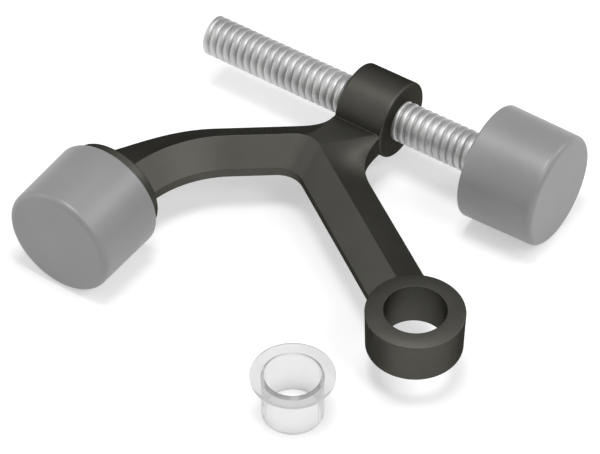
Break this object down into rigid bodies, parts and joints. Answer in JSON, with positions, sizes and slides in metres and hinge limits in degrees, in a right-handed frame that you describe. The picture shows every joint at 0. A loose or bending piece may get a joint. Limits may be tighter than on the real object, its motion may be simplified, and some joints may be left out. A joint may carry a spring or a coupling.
{
  "type": "hinge pin door stop",
  "caption": "Cast wishbone door stop with a hinge pin ring, an adjusting rod and rubber bumpers on the rod and on the arm, with a clear bush beside it.",
  "frame": {"origin": "centre of the hinge pin bore, at the middle of the ring's height", "axes": "+Z along the hinge pin bore, up and out of the ring's crowned side; +X along the rod towards its bumper's tip; -Y the way the fixed bumper points"},
  "size_m": [0.068, 0.0659, 0.0178],
  "materials": {
    "casting": "satin",
    "rod_steel": "satin",
    "bumper_rubber": "matte",
    "clear_plastic": "gloss"
  },
  "bodies": {
    "arm": {"stop_arm": "casting", "fixed_bumper": "bumper_rubber", "hinge_pin_bush": "clear_plastic"},
    "bumper_slide": {"rod_bumper": "bumper_rubber"},
    "rod": {"adjusting_rod": "rod_steel"}
  },
  "joints": [
    {"name": "rod_travel", "type": "slide", "parent": "arm", "child": "bumper_slide", "axis": [1, 0, 0], "range_m": [-0.0147, 0.026]},
    {"name": "rod_turn", "type": "hinge", "parent": "bumper_slide", "child": "rod", "pos_m": [-0.0092, 0.03465, 0], "axis": [1, 0, 0], "range_deg": [-4167, 7371]}
  ],
  "couplings": [
    {"joint": "rod_turn", "follows": "rod_travel", "rad_per_m": 4947.4}
  ]
}
